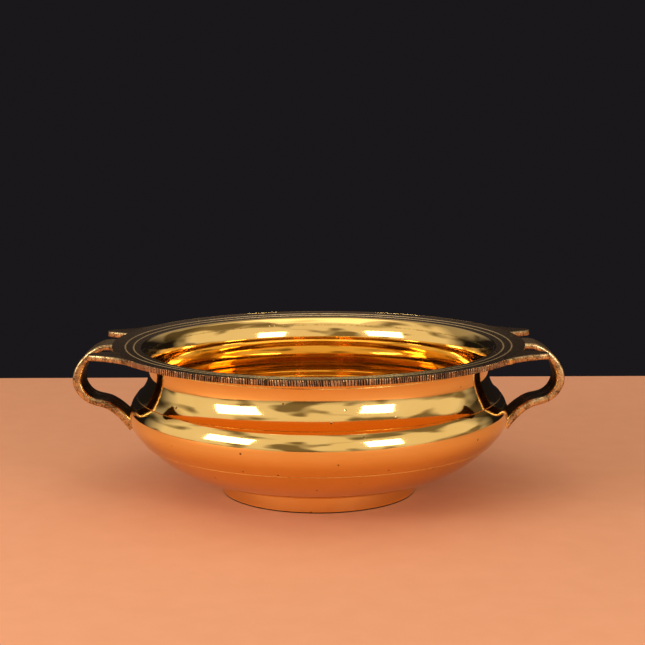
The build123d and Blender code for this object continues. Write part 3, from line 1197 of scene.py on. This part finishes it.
    def build(self, finishes: Finishes) -> None:
        """Builds the strap and both prongs as one casting."""
        parts = [self.strap_mesh(), self.prong_mesh(1), self.prong_mesh(-1)]
        meshes = [([self.settle(v) for v in vertices], faces) for vertices, faces, _ in parts]
        numbers = [number for part in parts for number in part[2]]
        name = self.side.name.lower()
        handle = mesh_object(f"{name}_handle_filed", *join(meshes), 50.0, numbers)
        finish_piece(handle, f"{name}_handle", Slot.CAST, finishes.filed, finishes.as_cast_and_shade,
                     finishes.flange_top, finishes.braze)
        for face in handle.data.polygons:
            if self.knob_share(face.center.x / MM, face.center.y / MM) > self.knob_edge:
                face.material_index = HandleFace.BRAZE


@dataclass
class HandleBraze:
    """Braze at a handle's root and foot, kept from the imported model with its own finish."""

    side: Side

    def dress(self, finishes: Finishes) -> None:
        """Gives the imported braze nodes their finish."""
        for end in ("root", "foot"):
            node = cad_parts[f"{self.side.name.lower()}_handle_{end}_braze"]
            node.data.materials.clear()
            node.data.materials.append(finishes.braze)
            LOG.info("%s: packed node dressed", node.name)


# ---- Floor, light and camera ----


@dataclass(frozen=True)
class Softbox:
    """Rectangular lamp aimed at the bowl."""

    name: str
    azimuth: float                  # degrees from the camera's side, positive to the right
    elevation: float
    distance: float
    width: float
    height: float
    radiance: float
    colour: str
    aim_height: float = 0.06

    def place(self) -> None:
        """Adds the lamp to the scene."""
        lamp = bpy.data.lights.new(self.name, "AREA")
        lamp.shape = "RECTANGLE"
        lamp.size, lamp.size_y = self.width, self.height
        lamp.energy = self.radiance * math.pi * self.width * self.height
        lamp.color = linear(self.colour)[:3]
        thing = add_object(self.name, lamp)
        turn, lift = math.radians(self.azimuth), math.radians(self.elevation)
        aim = Vector((0.0, 0.0, self.aim_height))
        back = Vector((math.sin(turn) * math.cos(lift), -math.cos(turn) * math.cos(lift),
                       math.sin(lift)))
        thing.location = aim + back * self.distance
        thing.rotation_mode = "QUATERNION"
        thing.rotation_quaternion = (-back).to_track_quat("-Z", "Y")


@dataclass
class Studio:
    """Pale floor, soft lamps, dim room and the camera."""

    floor_colour: str = "#e4a078"
    floor_cloud: str = "#dd986e"
    floor_cloud_mm: float = 50 / 3  # paper looks faintly cloudy at this size
    floor_half_width: float = 1.3
    floor_front: float = -0.45
    floor_back: float = 0.335
    room_dark: str = "#19171a"
    room_light: str = "#e8dccf"
    room_shade: str = "#7c6f5c"
    room_strength: float = 1.05
    # Each direction has parts from -1 to 1. These say where the room's brightness changes.
    wall_start: Point = (0.25, 0.60)        # towards the back: lit, then the dark wall
    ceiling_start: Point = (0.24, 0.46)     # upwards: the wall, then the dim ceiling
    ceiling_share: float = 0.42
    ground_start: Point = (-0.30, 0.02)     # upwards: the dim ground, then lit
    ground_share: float = 0.1
    patch_scale: float = 2.2
    patch_edge: Point = (0.40, 0.50)
    softboxes: tuple[Softbox, ...] = (
        Softbox("left_softbox", -53.0, 20.0, 0.9, 0.45, 0.31, 9.0, "#fff8ee"),
        Softbox("right_softbox", 37.0, 16.0, 0.9, 0.32, 0.30, 9.0, "#fff8ee"),
        Softbox("overhead_softbox", 0.0, 86.0, 1.1, 0.9, 0.9, 0.8, "#fff3e4"),
    )
    camera_place: tuple[float, float, float] = (0.00229, -0.8464, 0.2291)
    camera_pitch: float = -8.886    # degrees below level
    camera_roll: float = -0.196
    camera_lens: float = 83.57
    camera_sensor: float = 36.0

    def build_floor(self) -> None:
        """Lays the floor."""
        w, f, b = self.floor_half_width, self.floor_front, self.floor_back
        mesh = bpy.data.meshes.new("floor")
        mesh.from_pydata([(-w, f, 0), (w, f, 0), (w, b, 0), (-w, b, 0)], [], [(0, 1, 2, 3)])
        floor = add_object("floor", mesh)
        material = bpy.data.materials.new("paper_pale_matt")
        tree = empty_tree(material)
        place = add_node(tree, "TexCoord").outputs["Object"]
        clouds = add_node(tree, "TexNoise", {
            "Vector": place, "Scale": 1 / (self.floor_cloud_mm * MM), "Detail": 5.0})
        tint = add_node(tree, "Mix", {
            "Factor": clouds.outputs["Fac"], "A": linear(self.floor_colour),
            "B": linear(self.floor_cloud)},
            data_type="RGBA")
        add_surface(tree, {"Base Color": tint.outputs["Result"], "Roughness": 0.9})
        floor.data.materials.append(material)

    def build_light(self) -> None:
        """Sets the dim room and places the lamps."""
        world = bpy.data.worlds.new("room")
        bpy.context.scene.world = world
        tree = empty_tree(world)
        toward = add_node(tree, "TexCoord").outputs["Generated"]
        split = add_node(tree, "SeparateXYZ", {0: toward})
        front = add_node(tree, "MapRange", {
            "Value": split.outputs[1], "From Min": self.wall_start[0],
            "From Max": self.wall_start[1], "To Min": 1.0, "To Max": 0.0})
        low = add_node(tree, "MapRange", {
            "Value": split.outputs[2], "From Min": self.ground_start[0],
            "From Max": self.ground_start[1], "To Min": self.ground_share})
        high = add_node(tree, "MapRange", {
            "Value": split.outputs[2], "From Min": self.ceiling_start[0],
            "From Max": self.ceiling_start[1], "To Max": self.ceiling_share})
        open_sides = add_node(tree, "Math", {0: front, 1: high}, operation="MAXIMUM")
        lit = add_node(tree, "Math", {0: open_sides, 1: low}, operation="MULTIPLY")
        patches = add_node(tree, "TexNoise", {
            "Vector": toward, "Scale": self.patch_scale, "Detail": 1.0})
        shade = add_node(tree, "MapRange", {
            "Value": patches.outputs["Fac"], "From Min": self.patch_edge[0],
            "From Max": self.patch_edge[1]})
        walls = add_node(tree, "Mix", {
            "Factor": shade, "A": linear(self.room_shade), "B": linear(self.room_light)},
            data_type="RGBA")
        colour = add_node(tree, "Mix", {
            "Factor": lit, "A": linear(self.room_dark), "B": walls.outputs["Result"]},
            data_type="RGBA")
        room = add_node(tree, "Background", {
            "Color": colour.outputs["Result"], "Strength": self.room_strength})
        add_node(tree, "OutputWorld", {"Surface": room})
        for softbox in self.softboxes:
            softbox.place()

    def build_camera(self) -> None:
        """Adds the camera, level with a slight downward tilt."""
        data = bpy.data.cameras.new("camera")
        data.lens, data.sensor_width = self.camera_lens, self.camera_sensor
        data.sensor_fit = "HORIZONTAL"
        camera = add_object("camera", data)
        tilt = Matrix.Rotation(math.radians(90.0 + self.camera_pitch), 4, "X")
        roll = Matrix.Rotation(math.radians(self.camera_roll), 4, "Z")
        camera.matrix_world = Matrix.Translation(self.camera_place) @ tilt @ roll
        bpy.context.scene.camera = camera

    def build(self) -> None:
        """Builds the floor, the light and the camera, with colours shown as they are."""
        bpy.context.scene.view_settings.view_transform = "Standard"
        self.build_floor()
        self.build_light()
        self.build_camera()


def main() -> None:
    """Builds the bowl piece by piece, then what it stands in."""
    logging.basicConfig(level=logging.INFO, format="%(name)s %(message)s")
    finishes, sizes = Finishes(), VesselSizes()
    vessel = Vessel(sizes)
    vessel.build(finishes)
    Rim(sizes, vessel).build(finishes)
    Foot(sizes).build(finishes)
    for side in Side:
        Handle(sizes, side).build(finishes)
        HandleBraze(side).dress(finishes)
    Studio().build()


if __name__ == "__main__":
    main()
